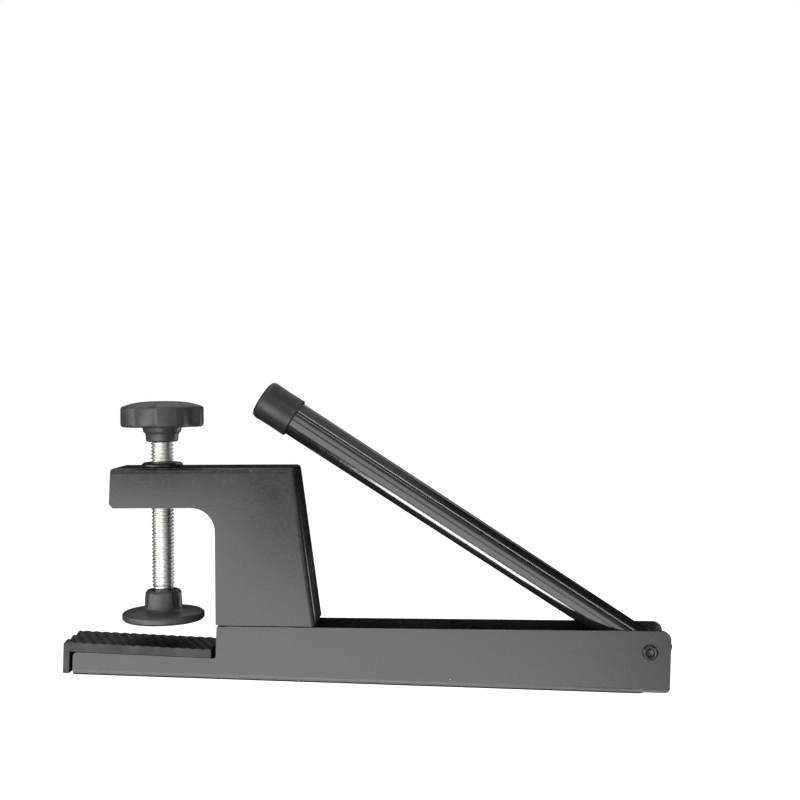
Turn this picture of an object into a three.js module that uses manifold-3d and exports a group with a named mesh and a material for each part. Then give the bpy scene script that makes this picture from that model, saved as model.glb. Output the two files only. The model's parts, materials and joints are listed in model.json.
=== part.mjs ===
// Table tennis net clamp: a steel channel beam with a rubber jaw, a folded bracket that carries a
// clamp screw, and a tubular net post that folds down along the beam.
//
// Frame, in millimetres. X runs along the beam, from the jaw tip (-X) to the post's pivot (+X), and
// x = 0 is the plane where a table's edge sits. Y is across the beam, with y = 0 in its middle. Z is
// up, from the outside of the beam's web at z = 0 towards the hand knob. The post is folded.

import * as THREE from 'three';
import { mergeVertices } from 'three/addons/utils/BufferGeometryUtils.js';
import Module from 'manifold-3d';

const wasm = await Module();
wasm.setup();

// ---------------------------------------------------------------- driving dimensions

const GAP = 0.3;                    // clearance between pieces that touch on the real clamp
const SHEET = 1.5;                  // steel sheet of the beam and the bracket
const ROUND = 5;                    // steps in a sheet bend or a rounded outline corner
const TURN = 40;                    // steps round a turned piece
const WALL_REACH = 90;              // longer than any wall, so that an outline can trim it

const BEAM_HALF = 9.0;              // half the beam's outside width
const BEAM_BEND = 2.2;              // outside radius of the bend between web and wall
const JAW_TIP_X = -47.9;            // free end of the jaw
const BEAM_END_X = 153.5;           // pivot end of the walls
const STEP_X = 0.7;                 // where the low jaw walls step up
const JAW_TIP_TOP = 8.0;            // jaw wall height at the tip
const JAW_ROOT_TOP = 7.4;           // jaw wall height at the step
const STEP_TOP = 18.2;              // wall height at the step
const END_TOP = 21.6;               // wall height at the pivot end
const WEB_END_X = 143.4;            // the web stops short of the walls
const WALL_LIFT = 0.75;             // the walls' lower edge past the web's end

const PIVOT = { x: 146.5, z: 14.3 };
const RIVET_R = 2.0;
const RIVET_HEAD_R = 2.9;
const RIVET_HEAD_T = 0.9;
const RIVET_DIMPLE_R = 1.5;
const WASHER_R = 5.0;

const POST_R = 6.0;                 // 12 mm tube
const POST_WALL = 1.0;
const POST_TAIL = 7.0;              // tube past the pivot
const POST_REACH = 156.5;           // pivot to the tip of the cap
const POST_ANGLE = THREE.MathUtils.degToRad(31.4);   // folded post above the beam's web
const CAP_R = 6.9;
const CAP_LENGTH = 13.3;
const CAP_END_T = 1.8;

const LEAN = THREE.MathUtils.degToRad(1.9);          // the bracket and the screw lean over the jaw
const BRACKET_HALF = 10.8;          // half the bracket's outside width
const BRACKET_BEND = 1.8;
const ARM_TIP_X = -36.2;
const ARM_TOP = 70.6;               // arm top at its tip
const ARM_DEPTH = 13.3;
const REAR_TOP_X = 25.8;
const REAR_FOOT = { x: 34.6, z: 19.7 };
const INNER_FOOT = { x: 0.7, z: 19.05 };
const INNER_TOP_X = -0.6;
const INNER_FILLET = 8.0;
const TAB = { x0: 4.5, x1: 26.0, top: 33.0 };        // wall tabs welded inside the bracket

const FOOT_CENTRE = new THREE.Vector3(-19.2, 0, 18.5);   // middle of the foot's pressing face
const SCREW_R = 3.95;               // M8 rod over its crests
const NUT_BORE_R = 4.3;
const NUT_TOP_R = 6.2;
const NUT_BASE_R = 7.0;
const NUT_HEIGHT = 1.5;             // what stands above the arm
const NUT_PILOT_R = 5.5;
const FLANGE_HEIGHT = 52.65;        // top of the arm above the foot's face, along the screw
const FOOT_R = 14.0;
const BALL_HEIGHT = 5.6;
const BALL_R = 3.9;
const NECK_R = 2.8;
const COLLAR_TOP = 10.2;
const KNOB_FOOT = 61.3;             // underside of the knob's hub, along the screw
const KNOB_RIM = 66.4;
const KNOB_SHOULDER = 73.6;
const KNOB_TOP = 75.6;
const KNOB_R = 14.2;
const KNOB_LOBES = 5;
const KNOB_WAIST = 12.3;            // radius in the hollows between lobes
const KNOB_HOLLOW_R = 6.0;
const KNOB_TURN = THREE.MathUtils.degToRad(24);      // a lobe's angle from -Y towards +X
const HEAD_HEX_R = 7.5;             // M8 bolt head, 13 mm across its flats
const HEAD = { foot: 67.3, top: 72.5 };

const PAD = { tip: -51.0, root: -0.9, half: 9.6, lip: 2.1, lipFoot: 0.9 };
const PAD_CREST_TIP = 11.5;
const PAD_CREST_ROOT = 10.6;
const RIB_HEIGHT = 0.9;
const RIB_PITCH = 3.35;
const RIB_SKEW = THREE.MathUtils.degToRad(26);       // ribs against the Y axis

// ---------------------------------------------------------------- materials

function finish(color, roughness, metalness) {
  return new THREE.MeshStandardMaterial({ color, roughness, metalness });
}

const BLACK_PAINT = finish(0x2b2c2c, 0.35, 0.0);
const GLOSS_PAINT = finish(0x1d1d1e, 0.18, 0.0);
const ZINC = finish(0xc9ccd0, 0.3, 1.0);
const BLACK_PLASTIC = finish(0x2a2827, 0.55, 0.0);
const BLACK_RUBBER = finish(0x1c1c1c, 0.85, 0.0);
const NYLON = finish(0xd8d6cc, 0.5, 0.0);

// ---------------------------------------------------------------- solids

function solid(geometry) {
  const plain = geometry.clone();
  plain.deleteAttribute('normal');
  plain.deleteAttribute('uv');
  const merged = mergeVertices(plain, 1e-4);
  return new wasm.Manifold(new wasm.Mesh({
    numProp: 3,
    vertProperties: new Float32Array(merged.attributes.position.array),
    triVerts: new Uint32Array(merged.index.array),
  }));
}

function geometryOf(manifold) {
  const mesh = manifold.getMesh();
  const geometry = new THREE.BufferGeometry();
  geometry.setAttribute('position', new THREE.BufferAttribute(mesh.vertProperties, 3));
  geometry.setIndex(new THREE.BufferAttribute(mesh.triVerts, 1));
  return geometry;
}

// An outline in X and Z, extruded across the beam from y0 to y1.
function plate(shape, y0, y1) {
  const geometry = new THREE.ExtrudeGeometry(shape, {
    depth: y1 - y0, bevelEnabled: false, curveSegments: ROUND,
  });
  geometry.rotateX(Math.PI / 2);
  geometry.translate(0, y1, 0);
  return solid(geometry);
}

function box(x0, x1, y0, y1, z0, z1) {
  const geometry = new THREE.BoxGeometry(x1 - x0, y1 - y0, z1 - z0);
  geometry.translate((x0 + x1) / 2, (y0 + y1) / 2, (z0 + z1) / 2);
  return solid(geometry);
}

// A cylinder across the beam.
function crossPin(radius, y0, y1, x, z, steps = 24) {
  const geometry = new THREE.CylinderGeometry(radius, radius, y1 - y0, steps);
  geometry.translate(x, (y0 + y1) / 2, z);
  return solid(geometry);
}

// A turned solid from [radius, height] pairs. Its axis is Z.
function turned(profile, steps = TURN) {
  const points = profile.map(([r, h]) => new THREE.Vector2(r, h));
  const geometry = new THREE.LatheGeometry(points, steps);
  geometry.rotateX(Math.PI / 2);
  return solid(geometry);
}

// What one bent flange and its two walls enclose: a block whose flange side runs from `start` to
// `end`, points to the left of that line in the X-Z plane, and has both long edges bent round. The
// walls reach far past the other side. `inset` moves the flange side into the block.
function bentBlock(start, end, half, radius, inset) {
  const section = new THREE.Shape();
  section.moveTo(-half, -WALL_REACH);
  section.lineTo(half, -WALL_REACH);
  section.lineTo(half, -radius);
  section.absarc(half - radius, -radius, radius, 0, Math.PI / 2, false);
  section.lineTo(-half + radius, 0);
  section.absarc(-half + radius, -radius, radius, Math.PI / 2, Math.PI, false);
  const along = new THREE.Vector3(end.x - start.x, 0, end.z - start.z);
  const length = along.length() + 2 * WALL_REACH;
  along.normalize();
  const across = new THREE.Vector3(0, 1, 0);
  const out = new THREE.Vector3().crossVectors(along, across);
  const geometry = new THREE.ExtrudeGeometry(section, {
    depth: length, bevelEnabled: false, curveSegments: ROUND,
  });
  const from = new THREE.Vector3(start.x, 0, start.z)
    .addScaledVector(along, -WALL_REACH)
    .addScaledVector(out, -inset);
  geometry.applyMatrix4(new THREE.Matrix4().makeBasis(across, out, along).setPosition(from));
  return solid(geometry);
}

// An outline through corners [x, z, radius], each rounded by its radius.
function roundedOutline(corners) {
  const shape = new THREE.Shape();
  corners.forEach(([x, z, radius], i) => {
    const here = new THREE.Vector2(x, z);
    const [px, pz] = corners.at(i - 1);
    const [nx, nz] = corners[(i + 1) % corners.length];
    const back = new THREE.Vector2(px, pz).sub(here).normalize();
    const on = new THREE.Vector2(nx, nz).sub(here).normalize();
    const half = Math.acos(back.dot(on)) / 2;
    const run = radius / Math.tan(half);
    const start = here.clone().addScaledVector(back, run);
    const end = here.clone().addScaledVector(on, run);
    if (i === 0) shape.moveTo(start.x, start.y);
    else shape.lineTo(start.x, start.y);
    if (radius > 0) {
      const toCentre = back.clone().add(on).normalize().multiplyScalar(radius / Math.sin(half));
      const centre = here.clone().add(toCentre);
      const a0 = Math.atan2(start.y - centre.y, start.x - centre.x);
      const a1 = Math.atan2(end.y - centre.y, end.x - centre.x);
      const clockwise = back.cross(on) > 0;
      shape.absarc(centre.x, centre.y, radius, a0, a1, clockwise);
    }
  });
  return shape;
}

// ---------------------------------------------------------------- the beam

function wallTopAt(x) {
  return STEP_TOP + (END_TOP - STEP_TOP) * (x - STEP_X) / (BEAM_END_X - STEP_X);
}

function beamSolid() {
  const webFrom = { x: BEAM_END_X, z: 0 };
  const webTo = { x: JAW_TIP_X, z: 0 };
  const outside = bentBlock(webFrom, webTo, BEAM_HALF, BEAM_BEND, 0);
  const inside = bentBlock(webFrom, webTo, BEAM_HALF - SHEET, BEAM_BEND - SHEET, SHEET);
  const side = roundedOutline([
    [JAW_TIP_X, 0, 0.4],
    [WEB_END_X, 0, 0.3],
    [WEB_END_X + 1.6, WALL_LIFT, 0.6],
    [BEAM_END_X, WALL_LIFT, 1.6],
    [BEAM_END_X, END_TOP, 3.0],
    [TAB.x1, wallTopAt(TAB.x1), 0.4],
    [TAB.x1, TAB.top, 2.0],
    [TAB.x0, TAB.top, 2.0],
    [TAB.x0, wallTopAt(TAB.x0), 0.4],
    [STEP_X, STEP_TOP, 0.4],
    [STEP_X, JAW_ROOT_TOP, 0.8],
    [JAW_TIP_X, JAW_TIP_TOP, 1.6],
  ]);
  const notchR = POST_R + 0.5;
  const wallInside = BEAM_HALF - SHEET;
  const notch = turned([[0, -1], [notchR, -1], [notchR, 4], [0, 4]]).translate([PIVOT.x, 0, 0]);
  return outside
    .intersect(plate(side, -BEAM_HALF - 1, BEAM_HALF + 1))
    .subtract(inside)
    .subtract(box(WEB_END_X, BEAM_END_X + 1, -wallInside, wallInside, -1, BEAM_BEND + 0.2))
    .subtract(notch)
    .subtract(crossPin(RIVET_R + GAP, -BEAM_HALF - 1, BEAM_HALF + 1, PIVOT.x, PIVOT.z));
}

// ---------------------------------------------------------------- the bracket

function armTopAt(x) {
  return ARM_TOP + Math.tan(LEAN) * (x - ARM_TIP_X);
}

function bracketSolid() {
  const rearTop = { x: REAR_TOP_X, z: armTopAt(REAR_TOP_X) };
  const side = roundedOutline([
    [ARM_TIP_X, ARM_TOP, 0.6],
    [ARM_TIP_X - 0.2, ARM_TOP - ARM_DEPTH + 1.4, 0.6],
    [ARM_TIP_X + 1.1, ARM_TOP - ARM_DEPTH, 0.5],
    [INNER_TOP_X, armTopAt(INNER_TOP_X) - ARM_DEPTH, INNER_FILLET],
    [INNER_FOOT.x, INNER_FOOT.z, 0.4],
    [REAR_FOOT.x, REAR_FOOT.z, 0.4],
    [rearTop.x, rearTop.z, BRACKET_BEND],
  ]);
  function folded(half, radius, inset) {
    const top = bentBlock({ x: ARM_TIP_X, z: ARM_TOP }, rearTop, half, radius, inset);
    const rear = bentBlock(rearTop, REAR_FOOT, half, radius, inset);
    return top.intersect(rear);
  }
  const pilotHole = alongScrew(turned([
    [0, FLANGE_HEIGHT - 6], [NUT_PILOT_R + GAP, FLANGE_HEIGHT - 6],
    [NUT_PILOT_R + GAP, FLANGE_HEIGHT + 4], [0, FLANGE_HEIGHT + 4],
  ]));
  return plate(side, -BRACKET_HALF - 1, BRACKET_HALF + 1)
    .intersect(folded(BRACKET_HALF, BRACKET_BEND, 0))
    .subtract(folded(BRACKET_HALF - SHEET, BRACKET_BEND - SHEET, SHEET))
    .subtract(pilotHole);
}

// ---------------------------------------------------------------- the screw and what it carries

// Puts a piece that was made upright, with the foot's face at height 0, on the leaning screw axis.
function alongScrew(piece) {
  return piece
    .rotate([0, -THREE.MathUtils.radToDeg(LEAN), 0])
    .translate(FOOT_CENTRE.toArray());
}

function weldNutSolid() {
  const top = FLANGE_HEIGHT + NUT_HEIGHT;
  return turned([
    [NUT_BORE_R, FLANGE_HEIGHT - SHEET],
    [NUT_PILOT_R, FLANGE_HEIGHT - SHEET],
    [NUT_PILOT_R, FLANGE_HEIGHT + GAP],
    [NUT_BASE_R, FLANGE_HEIGHT + GAP],
    [NUT_BASE_R, FLANGE_HEIGHT + 0.8],
    [NUT_TOP_R + 0.2, top - 0.2],
    [NUT_TOP_R, top],
    [NUT_BORE_R, top],
    [NUT_BORE_R, FLANGE_HEIGHT - SHEET],
  ]);
}

function screwSolid() {
  const rod = turned([
    [0, COLLAR_TOP + 0.5],
    [NECK_R, COLLAR_TOP + 0.5],
    [SCREW_R, COLLAR_TOP + 1.7],
    [SCREW_R, HEAD.foot + 1],
    [0, HEAD.foot + 1],
  ], 36);
  const head = turned([
    [0, HEAD.foot], [HEAD_HEX_R, HEAD.foot], [HEAD_HEX_R, HEAD.top], [0, HEAD.top],
  ], 6);
  return rod.add(head);
}

function ballEndSolid() {
  const neckAngle = Math.asin(NECK_R / BALL_R);
  const steps = 9;
  const profile = [];
  for (let i = 0; i <= steps; i += 1) {
    const a = Math.PI - (Math.PI - neckAngle) * i / steps;
    profile.push([i === 0 ? 0 : BALL_R * Math.sin(a), BALL_HEIGHT + BALL_R * Math.cos(a)]);
  }
  profile.push([NECK_R, COLLAR_TOP + 0.2], [0, COLLAR_TOP + 0.2]);
  return turned(profile, 28);
}

function footSolid() {
  const socketR = BALL_R + 0.35;
  const mouthR = 3.65;
  const steps = 8;
  const mouthAngle = Math.asin(mouthR / socketR);
  const profile = [
    [0, 0], [FOOT_R - 0.7, 0], [FOOT_R, 0.7], [FOOT_R, 2.0], [FOOT_R - 0.8, 2.8],
    [7.2, 3.4], [6.4, 4.2], [6.1, 9.4], [5.5, COLLAR_TOP], [4.6, COLLAR_TOP],
  ];
  for (let i = 0; i <= steps; i += 1) {
    const a = mouthAngle + (Math.PI - mouthAngle) * i / steps;
    const r = i === steps ? 0 : socketR * Math.sin(a);
    profile.push([r, BALL_HEIGHT + socketR * Math.cos(a)]);
  }
  return turned(profile);
}

// Radius of the knob's outline at an angle from the middle of a lobe.
function knobRadius(angle) {
  const pitch = 2 * Math.PI / KNOB_LOBES;
  const fromLobe = angle - pitch * Math.round(angle / pitch);
  const fromHollow = pitch / 2 - Math.abs(fromLobe);
  const centre = KNOB_WAIST + KNOB_HOLLOW_R;
  const side = centre * Math.sin(fromHollow);
  if (side >= KNOB_HOLLOW_R) return KNOB_R;
  const hollow = centre * Math.cos(fromHollow) - Math.sqrt(KNOB_HOLLOW_R ** 2 - side ** 2);
  const blend = 0.9;
  const t = Math.max(blend - Math.abs(KNOB_R - hollow), 0) / blend;
  return Math.min(KNOB_R, hollow) - t * t * blend / 4;
}

function knobSolid() {
  const outline = new THREE.Shape();
  const count = KNOB_LOBES * 16;
  for (let i = 0; i < count; i += 1) {
    const angle = 2 * Math.PI * i / count;
    const r = knobRadius(angle);
    const at = angle + KNOB_TURN - Math.PI / 2;
    const point = [r * Math.cos(at), r * Math.sin(at)];
    if (i === 0) outline.moveTo(...point);
    else outline.lineTo(...point);
  }
  const lobed = solid(new THREE.ExtrudeGeometry(outline, {
    depth: KNOB_TOP - KNOB_FOOT + 2, bevelEnabled: false,
  })).translate([0, 0, KNOB_FOOT - 1]);
  const profile = [
    [0, KNOB_FOOT], [5.0, KNOB_FOOT], [5.5, KNOB_FOOT + 0.7], [5.7, KNOB_RIM - 2.2],
    [6.5, KNOB_RIM - 1.7], [6.7, KNOB_RIM - 0.4], [7.4, KNOB_RIM],
    [KNOB_R - 0.7, KNOB_RIM], [KNOB_R, KNOB_RIM + 0.8], [KNOB_R, KNOB_SHOULDER - 0.9],
    [KNOB_R - 0.9, KNOB_SHOULDER],
    [10.0, KNOB_TOP - 0.5], [6.0, KNOB_TOP - 0.1], [0, KNOB_TOP],
  ];
  const pocket = turned([
    [0, HEAD.foot - GAP], [HEAD_HEX_R + GAP, HEAD.foot - GAP],
    [HEAD_HEX_R + GAP, HEAD.top + GAP], [0, HEAD.top + GAP],
  ], 6);
  const bore = turned([
    [0, KNOB_FOOT - 1], [SCREW_R + GAP, KNOB_FOOT - 1],
    [SCREW_R + GAP, HEAD.foot + 1], [0, HEAD.foot + 1],
  ], 36);
  return turned(profile).intersect(lobed).subtract(pocket).subtract(bore);
}

// ---------------------------------------------------------------- the rubber jaw pad

function padCrestAt(x) {
  return PAD_CREST_TIP + (PAD_CREST_ROOT - PAD_CREST_TIP) * (x - PAD.tip) / (PAD.root - PAD.tip);
}

function jawTopAt(x) {
  return JAW_TIP_TOP + (JAW_ROOT_TOP - JAW_TIP_TOP) * (x - JAW_TIP_X) / (STEP_X - JAW_TIP_X);
}

function padSolid() {
  const tip = PAD.tip;
  const root = PAD.root;
  const body = plate(roundedOutline([
    [tip, PAD.lipFoot, 0.6],
    [tip + PAD.lip, PAD.lipFoot, 0.6],
    [tip + PAD.lip, jawTopAt(JAW_TIP_X) + GAP, 0],
    [root, jawTopAt(root) + GAP, 0],
    [root, padCrestAt(root), 0.3],
    [tip, padCrestAt(tip), 1.0],
  ]), -PAD.half, PAD.half);
  const wallInside = BEAM_HALF - SHEET;
  const plug = plate(roundedOutline([
    [JAW_TIP_X + 2, 4.4, 0.5],
    [-2, 4.2, 0.5],
    [-2, jawTopAt(-2) + GAP + 0.6, 0],
    [JAW_TIP_X + 2, jawTopAt(JAW_TIP_X) + GAP + 0.6, 0],
  ]), -wallInside + GAP, wallInside - GAP);

  const grooves = [];
  const slope = Math.atan2(PAD_CREST_TIP - PAD_CREST_ROOT, root - tip);
  const reach = Math.tan(RIB_SKEW) * PAD.half;
  const first = Math.ceil((tip - reach) / RIB_PITCH);
  const last = Math.floor((root + reach) / RIB_PITCH);
  const groove = new THREE.Shape();
  groove.moveTo(-0.45, -RIB_HEIGHT);
  groove.lineTo(0.45, -RIB_HEIGHT);
  groove.lineTo(1.15, 0.3);
  groove.lineTo(-1.15, 0.3);
  for (let i = first; i <= last; i += 1) {
    const x = (i + 0.5) * RIB_PITCH;
    const cutter = new THREE.ExtrudeGeometry(groove, { depth: 40, bevelEnabled: false });
    cutter.translate(0, 0, -20);
    cutter.rotateX(Math.PI / 2);
    cutter.rotateZ(RIB_SKEW);
    cutter.rotateY(slope);
    cutter.translate(x, 0, padCrestAt(x));
    grooves.push(solid(cutter));
  }
  let pad = body.add(plug);
  grooves.forEach((cut) => {
    pad = pad.subtract(cut);
  });
  return pad;
}

// ---------------------------------------------------------------- the net post and its pivot

// Puts a piece made along +Z, with the pivot at the origin, on the folded post.
function alongPost(piece) {
  const turn = THREE.MathUtils.radToDeg(POST_ANGLE) - 90;
  return piece.rotate([0, turn, 0]).translate([PIVOT.x, 0, PIVOT.z]);
}

function postSolid() {
  const end = POST_REACH - CAP_END_T - GAP;
  const bore = POST_R - POST_WALL;
  const tube = turned([
    [bore, -POST_TAIL], [POST_R, -POST_TAIL], [POST_R, end], [bore, end], [bore, -POST_TAIL],
  ], 40);
  return alongPost(tube.subtract(crossPin(RIVET_R + GAP, -9, 9, 0, 0)));
}

function capSolid() {
  const bore = POST_R + GAP;
  const foot = POST_REACH - CAP_LENGTH;
  return alongPost(turned([
    [0, POST_REACH - CAP_END_T],
    [bore, POST_REACH - CAP_END_T],
    [bore, foot],
    [CAP_R - 0.25, foot],
    [CAP_R, foot + 0.4],
    [CAP_R, POST_REACH - 1.6],
    [CAP_R - 0.5, POST_REACH - 0.5],
    [CAP_R - 1.6, POST_REACH],
    [0, POST_REACH],
  ], 40));
}

function rivetSolid() {
  const inner = BEAM_HALF + GAP;
  const outer = inner + RIVET_HEAD_T;
  const dimple = outer - 0.7;
  const profile = [
    [0, -dimple], [RIVET_DIMPLE_R, -dimple], [RIVET_DIMPLE_R + 0.2, -outer],
    [RIVET_HEAD_R - 0.5, -outer], [RIVET_HEAD_R, -inner - 0.3], [RIVET_HEAD_R, -inner],
    [RIVET_R, -inner], [RIVET_R, inner], [RIVET_HEAD_R, inner], [RIVET_HEAD_R, inner + 0.3],
    [RIVET_HEAD_R - 0.5, outer], [RIVET_DIMPLE_R + 0.2, outer], [RIVET_DIMPLE_R, dimple],
    [0, dimple],
  ];
  return turned(profile, 24).rotate([90, 0, 0]).translate([PIVOT.x, 0, PIVOT.z]);
}

// A washer on the rivet. side is -1 in front of the post and +1 behind it.
function washerSolid(side) {
  const near = POST_R + GAP;
  const far = BEAM_HALF - SHEET - GAP;
  const washer = turned([
    [RIVET_R + GAP, near], [WASHER_R, near], [WASHER_R, far], [RIVET_R + GAP, far],
    [RIVET_R + GAP, near],
  ], 24);
  return washer.rotate([-90 * side, 0, 0]).translate([PIVOT.x, 0, PIVOT.z]);
}

// ---------------------------------------------------------------- the assembly

const clamp = new THREE.Group();
clamp.name = 'net_clamp';

function addPiece(group, name, manifold, material) {
  const mesh = new THREE.Mesh(geometryOf(manifold), material);
  mesh.name = name;
  group.add(mesh);
}

addPiece(clamp, 'channel_beam', beamSolid(), BLACK_PAINT);
addPiece(clamp, 'clamp_bracket', bracketSolid(), BLACK_PAINT);
addPiece(clamp, 'weld_nut', alongScrew(weldNutSolid()), BLACK_PAINT);
addPiece(clamp, 'jaw_pad', padSolid(), BLACK_RUBBER);

const screwGroup = new THREE.Group();
addPiece(screwGroup, 'clamp_screw', alongScrew(screwSolid()), ZINC);
addPiece(screwGroup, 'hand_knob', alongScrew(knobSolid()), BLACK_PLASTIC);
addPiece(screwGroup, 'screw_ball_end', alongScrew(ballEndSolid()), ZINC);
addPiece(screwGroup, 'swivel_foot', alongScrew(footSolid()), BLACK_PLASTIC);
clamp.add(screwGroup);

const postGroup = new THREE.Group();
addPiece(postGroup, 'post_tube', postSolid(), GLOSS_PAINT);
addPiece(postGroup, 'post_cap', capSolid(), BLACK_PLASTIC);
clamp.add(postGroup);

addPiece(clamp, 'pivot_rivet', rivetSolid(), BLACK_PAINT);
addPiece(clamp, 'pivot_washer_front', washerSolid(-1), NYLON);
addPiece(clamp, 'pivot_washer_rear', washerSolid(1), NYLON);

export default clamp;
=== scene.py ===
# %% [markdown]
# # A table tennis net clamp
#
# The clamp is a folded steel beam with a rubber jaw, a folded bracket that carries a hand screw,
# and a tube that folds down along the beam and holds the end of the net. Everything that moves or
# fits was settled beforehand in a fixed frame, so this script only makes the looks. It loads that
# frame, rebuilds each piece with a finer surface in exactly the same place, and gives each one the
# finish that the real piece has.

# %% Load the fixed frame
import math
import json

import bmesh
import bpy
from mathutils import Matrix, Vector


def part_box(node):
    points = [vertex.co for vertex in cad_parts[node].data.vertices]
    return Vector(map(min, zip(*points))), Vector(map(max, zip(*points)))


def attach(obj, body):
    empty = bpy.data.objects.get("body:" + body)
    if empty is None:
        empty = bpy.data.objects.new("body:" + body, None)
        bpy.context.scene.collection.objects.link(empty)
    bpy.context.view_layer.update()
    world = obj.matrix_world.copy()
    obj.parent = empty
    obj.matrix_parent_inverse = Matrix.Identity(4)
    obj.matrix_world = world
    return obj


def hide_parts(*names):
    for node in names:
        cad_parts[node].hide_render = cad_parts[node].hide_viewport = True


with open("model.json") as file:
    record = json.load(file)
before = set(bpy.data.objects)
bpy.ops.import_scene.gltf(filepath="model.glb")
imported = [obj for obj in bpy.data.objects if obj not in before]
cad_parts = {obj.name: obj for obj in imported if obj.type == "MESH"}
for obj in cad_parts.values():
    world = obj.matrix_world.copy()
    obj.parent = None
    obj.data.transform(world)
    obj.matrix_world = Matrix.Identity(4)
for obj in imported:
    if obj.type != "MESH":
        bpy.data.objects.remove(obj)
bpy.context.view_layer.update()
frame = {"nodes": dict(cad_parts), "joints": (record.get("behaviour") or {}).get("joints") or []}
joints = {j["name"]: j for j in frame["joints"]}
MM = 0.001

# %% [markdown]
# ## Axes that the pieces are made on
#
# Turned pieces are easiest to make upright, about their own axis, and to lay in place afterwards.
# Three axes are enough here: the leaning screw, the folded post and the rivet across the beam. All
# three stand on their joints' points, and the screw leans along its joint's axis, so they can't drift
# away from what the model does when it moves. The post's rise is a given angle.


# %% The screw's, the post's and the rivet's axes
def axis_frame(origin, along, across=(0, 1, 0)):
    """A matrix whose Z is `along` and whose Y is `across`, standing at `origin`."""
    z = Vector(along).normalized()
    y = Vector(across)
    x = y.cross(z).normalized()
    y = z.cross(x)
    turn = Matrix((x, y, z)).transposed().to_4x4()
    return Matrix.Translation(origin) @ turn


BALL_HEIGHT = 5.6 * MM
POST_RISE = math.radians(31.4)
screw_up = Vector(joints["screw_spin"]["axis"]).normalized()
ball_centre = Vector(joints["screw_spin"]["pos_m"])
foot_centre = ball_centre - screw_up * BALL_HEIGHT
pivot = Vector(joints["post_fold"]["pos_m"])
post_along = Vector((-math.cos(POST_RISE), 0, math.sin(POST_RISE)))

ON_SCREW = axis_frame(foot_centre, screw_up)
ON_POST = axis_frame(pivot, post_along)
ON_RIVET = axis_frame(pivot, (0, 1, 0), across=(0, 0, -1))
print("screw leans", round(math.degrees(math.asin(-screw_up.x)), 2), "degrees")

# %% [markdown]
# ## The camera
#
# An almost level camera looks square at the side of the clamp, from just above the knob. It is
# made first, so that every later step can be looked at straight away. The lens is a
# fairly long one, which keeps the long beam from looking bent. The camera is rolled a little, because
# the clamp lay a little askew in front of it.

# %% Camera
CAMERA_SPOT = Vector((71.7, -411.1, 102.2)) * MM
CAMERA_YAW = math.radians(1.58)
CAMERA_ROLL = math.radians(1.56)
CAMERA_DIP = math.radians(0.82)
LENS_MM = 54.0


def make_camera():
    data = bpy.data.cameras.new("bench_camera")
    data.lens = LENS_MM
    data.sensor_width = 36.0
    data.clip_start = 0.01
    data.clip_end = 20.0
    camera = bpy.data.objects.new("bench_camera", data)
    level_right = Vector((math.cos(CAMERA_YAW), math.sin(CAMERA_YAW), 0))
    level_back = level_right.cross((0, 0, 1))
    level_up = Vector((0, 0, 1)) * math.cos(CAMERA_DIP) - level_back * math.sin(CAMERA_DIP)
    right = level_right * math.cos(CAMERA_ROLL) + level_up * math.sin(CAMERA_ROLL)
    up = level_up * math.cos(CAMERA_ROLL) - level_right * math.sin(CAMERA_ROLL)
    turn = Matrix((right, up, right.cross(up))).transposed().to_4x4()
    camera.matrix_world = Matrix.Translation(CAMERA_SPOT) @ turn
    bpy.context.scene.collection.objects.link(camera)
    bpy.context.scene.camera = camera
    return camera


make_camera()
print("camera stands", round(-CAMERA_SPOT.y / MM), "mm in front of the clamp")

# %% [markdown]
# ## Colour and node helpers
#
# Paint makers give colours as sRGB hex values, but shaders add up light, so each value is turned
# to linear once, here. One small function adds a node, sets it up and links it. That keeps a
# material readable as a recipe: what it reads, what it is mixed with, and where it goes.


# %% Colours and nodes
def linear(hex_value):
    """An sRGB hex colour as linear RGBA."""
    parts = [int(hex_value[i:i + 2], 16) / 255 for i in (1, 3, 5)]
    curve = [c / 12.92 if c <= 0.04045 else ((c + 0.055) / 1.055) ** 2.4 for c in parts]
    return (*curve, 1.0)


def add(tree, kind, settings=None, **inputs):
    """A node of this kind. A setting is a property; an input is a value or an output socket."""
    made = tree.nodes.new(kind)
    for name, value in (settings or {}).items():
        setattr(made, name, value)
    for name, value in inputs.items():
        key = int(name[1:]) if name[0] == "_" else name.replace("_", " ")
        socket = made.inputs[key]
        if isinstance(value, bpy.types.NodeSocket):
            tree.links.new(value, socket)
        else:
            socket.default_value = value
    return made


def new_finish(name):
    """A material with an empty Principled shader, and its tree and shader."""
    material = bpy.data.materials.new(name)
    material.use_nodes = True
    tree = material.node_tree
    shader = tree.nodes["Principled BSDF"]
    return material, tree, shader


def lumps(size_mm):
    """The texture scale that gives lumps of this real size, because coordinates are in metres."""
    return 1000.0 / size_mm


print("colour helper: #808080 is", round(linear("#808080")[0], 3), "in linear light")

# %% [markdown]
# ## Baked black enamel on folded sheet
#
# The beam, the bracket and the weld nut are dipped or sprayed black and baked. Stoving enamel
# flows out almost smooth, with a faint orange peel, so a flat plate gives back a soft grey sheen
# and thin bright lines where the sheet bends. Handling leaves faint smears and a few pale specks
# of dust. The peel could be modelled, but at a few hundredths of a millimetre deep it belongs in
# the bump.


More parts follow.
